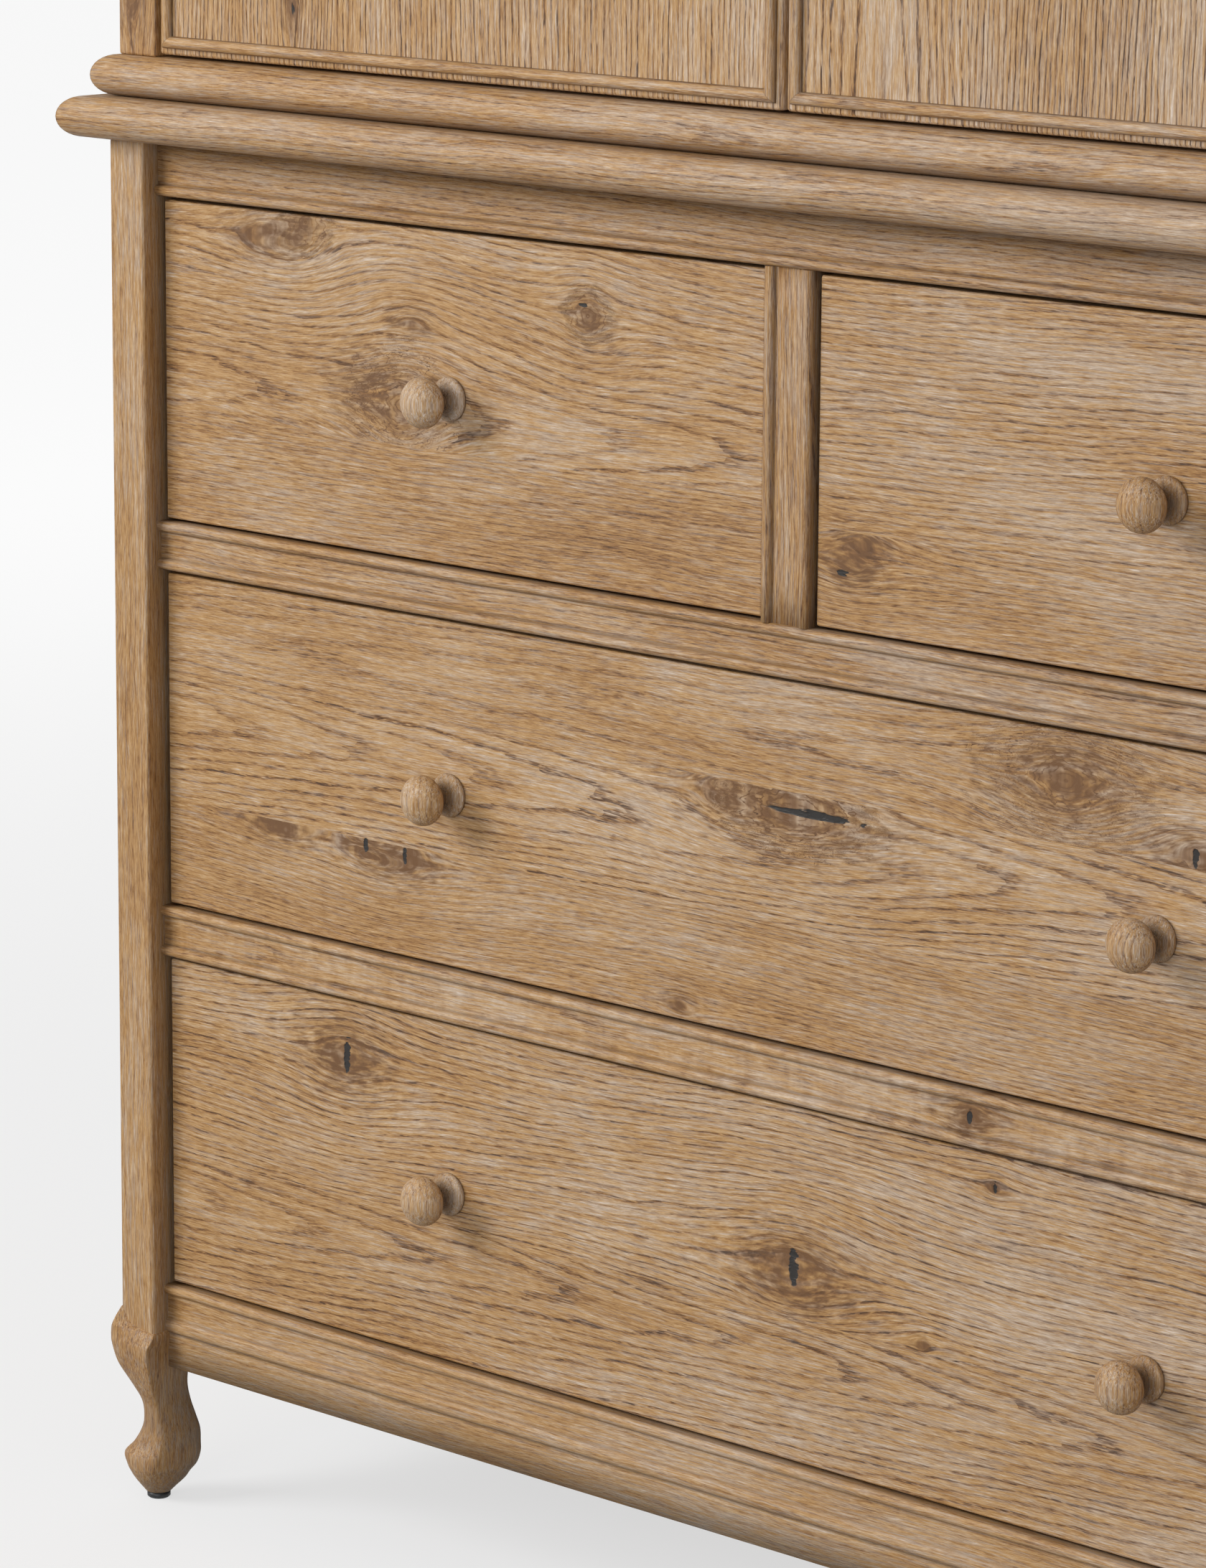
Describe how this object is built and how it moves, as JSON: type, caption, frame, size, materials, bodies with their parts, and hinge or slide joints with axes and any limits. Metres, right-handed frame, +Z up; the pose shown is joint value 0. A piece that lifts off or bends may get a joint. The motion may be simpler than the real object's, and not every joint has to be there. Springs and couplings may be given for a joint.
{
  "type": "armoire",
  "caption": "Wooden armoire: hinged doors over a hanging space, drawers below, bullnose waist and cornice boards, turned knobs and cabriole legs.",
  "frame": {"origin": "on the floor, at the centre of the overall box", "axes": "+Z up, the doors and drawers face -Y, +X to the right as one faces the back"},
  "size_m": [1.224, 0.551, 2.1299],
  "materials": {
    "weathered_oak": "limed, matt",
    "interior_oak": "sealed, matt",
    "back_panel_ply": "sealed, matt",
    "black_glide": "matt",
    "aged_brass": "aged",
    "catch_plastic": "matt"
  },
  "bodies": {
    "case": {"front_left_post": "weathered_oak", "front_left_leg": "weathered_oak", "front_left_glide": "black_glide", "front_right_post": "weathered_oak", "front_right_leg": "weathered_oak", "front_right_glide": "black_glide", "rear_left_post": "weathered_oak", "rear_left_leg": "weathered_oak", "rear_left_glide": "black_glide", "rear_right_post": "weathered_oak", "rear_right_leg": "weathered_oak", "rear_right_glide": "black_glide", "lower_left_side": "weathered_oak", "lower_right_side": "weathered_oak", "lower_back": "back_panel_ply", "bottom_rail": "weathered_oak", "lower_rail": "weathered_oak", "upper_rail": "weathered_oak", "top_rail": "weathered_oak", "drawer_divider": "weathered_oak", "upper_runner_panel": "interior_oak", "lower_runner_panel": "interior_oak", "bottom_runner_panel": "interior_oak", "lower_case_top": "weathered_oak", "upper_case_base": "weathered_oak", "upper_left_post": "weathered_oak", "upper_right_post": "weathered_oak", "upper_left_side": "weathered_oak", "upper_right_side": "weathered_oak", "upper_back": "back_panel_ply", "door_rail": "weathered_oak", "hat_shelf": "interior_oak", "hanging_rod": "interior_oak", "door_catch": "catch_plastic", "lower_cornice": "weathered_oak", "upper_cornice": "weathered_oak", "left_door_lower_hinge": "aged_brass", "left_door_upper_hinge": "aged_brass", "right_door_lower_hinge": "aged_brass", "right_door_upper_hinge": "aged_brass"},
    "left_door": {"left_door_panel": "weathered_oak", "left_door_bead_frame": "weathered_oak", "left_door_knob": "weathered_oak"},
    "right_door": {"right_door_panel": "weathered_oak", "right_door_bead_frame": "weathered_oak", "right_door_knob": "weathered_oak"},
    "top_left_drawer": {"top_left_drawer_front": "weathered_oak", "top_left_drawer_box": "interior_oak", "top_left_drawer_knob": "weathered_oak"},
    "top_right_drawer": {"top_right_drawer_front": "weathered_oak", "top_right_drawer_box": "interior_oak", "top_right_drawer_knob": "weathered_oak"},
    "middle_drawer": {"middle_drawer_front": "weathered_oak", "middle_drawer_box": "interior_oak", "middle_drawer_left_knob": "weathered_oak", "middle_drawer_right_knob": "weathered_oak"},
    "bottom_drawer": {"bottom_drawer_front": "weathered_oak", "bottom_drawer_box": "interior_oak", "bottom_drawer_left_knob": "weathered_oak", "bottom_drawer_right_knob": "weathered_oak"}
  },
  "joints": [
    {"name": "left_door_hinge", "type": "hinge", "parent": "case", "child": "left_door", "pos_m": [-0.5455, -0.2442, 1.5152], "axis": [0, 0, -1], "range_deg": [0, 110]},
    {"name": "right_door_hinge", "type": "hinge", "parent": "case", "child": "right_door", "pos_m": [0.5455, -0.2442, 1.5152], "axis": [0, 0, 1], "range_deg": [0, 110]},
    {"name": "top_left_drawer_slide", "type": "slide", "parent": "case", "child": "top_left_drawer", "axis": [0, -1, 0], "range_m": [0, 0.36]},
    {"name": "top_right_drawer_slide", "type": "slide", "parent": "case", "child": "top_right_drawer", "axis": [0, -1, 0], "range_m": [0, 0.36]},
    {"name": "middle_drawer_slide", "type": "slide", "parent": "case", "child": "middle_drawer", "axis": [0, -1, 0], "range_m": [0, 0.36]},
    {"name": "bottom_drawer_slide", "type": "slide", "parent": "case", "child": "bottom_drawer", "axis": [0, -1, 0], "range_m": [0, 0.36]}
  ]
}
